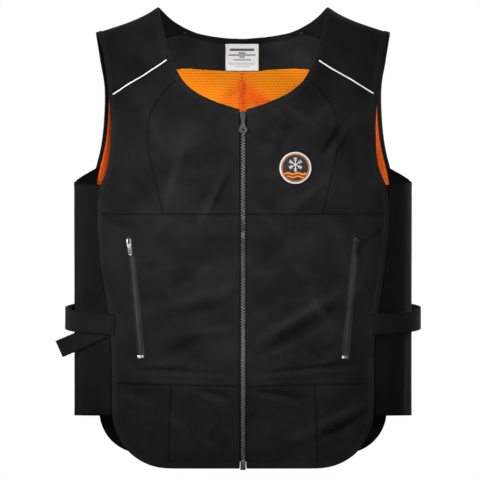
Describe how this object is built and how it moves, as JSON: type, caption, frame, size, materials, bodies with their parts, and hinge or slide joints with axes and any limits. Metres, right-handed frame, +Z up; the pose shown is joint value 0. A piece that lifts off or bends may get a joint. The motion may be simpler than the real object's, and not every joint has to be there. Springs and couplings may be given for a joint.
{
  "type": "cooling vest",
  "caption": "Sleeveless zip-front cooling vest in its worn shape, with stretch side panels, side straps, zip pockets, shoulder piping and a mesh lining in the back.",
  "frame": {"origin": "midway between the two neck points of the shoulder line, where the shoulders carry the vest", "axes": "+Z up, -Y the way the fronts face, +X to the wearer's left"},
  "size_m": [0.5469, 0.228, 0.6923],
  "materials": {
    "outer_cloth": "matte black woven cotton",
    "facing_cloth": "matte black woven cloth",
    "lining_mesh": "orange open mesh knit",
    "binding_tape": "black folded binding",
    "piping_cord": "off-white reflective piping",
    "stretch_cloth": "black stretch knit",
    "zip_metal": "gunmetal zip teeth",
    "zip_tape": "black zip tape",
    "zip_coil": "dark grey coil",
    "dark_hardware": "gunmetal",
    "bright_hardware": "bright steel",
    "strap_webbing": "black hook-and-loop strap",
    "label_cloth": "white satin label",
    "patch_cloth": "embroidered patch"
  },
  "bodies": {
    "vest": {"yoke_left": "outer_cloth", "yoke_right": "outer_cloth", "chest_centre_left": "outer_cloth", "chest_centre_right": "outer_cloth", "chest_side_left": "outer_cloth", "chest_side_right": "outer_cloth", "waist_left": "outer_cloth", "waist_right": "outer_cloth", "hem_centre_left": "outer_cloth", "hem_centre_right": "outer_cloth", "hem_side_left": "outer_cloth", "hem_side_right": "outer_cloth", "back_panel": "outer_cloth", "back_facing": "facing_cloth", "back_lining": "lining_mesh", "neck_binding": "binding_tape", "armhole_binding_left": "binding_tape", "armhole_binding_right": "binding_tape", "edge_binding_left": "binding_tape", "edge_binding_right": "binding_tape", "piping_left": "piping_cord", "piping_right": "piping_cord", "side_panel_left": "stretch_cloth", "side_panel_right": "stretch_cloth", "zip_chain": "zip_metal", "zip_tape_left": "zip_tape", "zip_tape_right": "zip_tape", "zip_box": "dark_hardware", "zip_slider": "dark_hardware", "pocket_tape_left": "zip_tape", "pocket_tape_right": "zip_tape", "pocket_coil_left": "zip_coil", "pocket_coil_right": "zip_coil", "pocket_stop_left": "bright_hardware", "pocket_stop_right": "bright_hardware", "pocket_slider_left": "dark_hardware", "pocket_slider_right": "dark_hardware", "strap_left": "strap_webbing", "strap_right": "strap_webbing", "strap_tail_right": "strap_webbing", "neck_label": "label_cloth", "chest_badge": "patch_cloth"},
    "centre_pull": {"zip_pull": "dark_hardware"},
    "left_pocket_pull": {"pocket_pull_left": "dark_hardware"},
    "right_pocket_pull": {"pocket_pull_right": "dark_hardware"}
  },
  "joints": [
    {"name": "centre_pull_swing", "type": "hinge", "parent": "vest", "child": "centre_pull", "pos_m": [0, -0.1165, -0.16038], "axis": [-1, 0, 0], "range_deg": [0, 150]},
    {"name": "left_pocket_pull_swing", "type": "hinge", "parent": "vest", "child": "left_pocket_pull", "pos_m": [0.17042, -0.09312, -0.3465], "axis": [-0.946, -0.3124, 0.0861], "range_deg": [0, 150]},
    {"name": "right_pocket_pull_swing", "type": "hinge", "parent": "vest", "child": "right_pocket_pull", "pos_m": [-0.17042, -0.09313, -0.3465], "axis": [-0.946, 0.3124, -0.0861], "range_deg": [0, 150]}
  ]
}
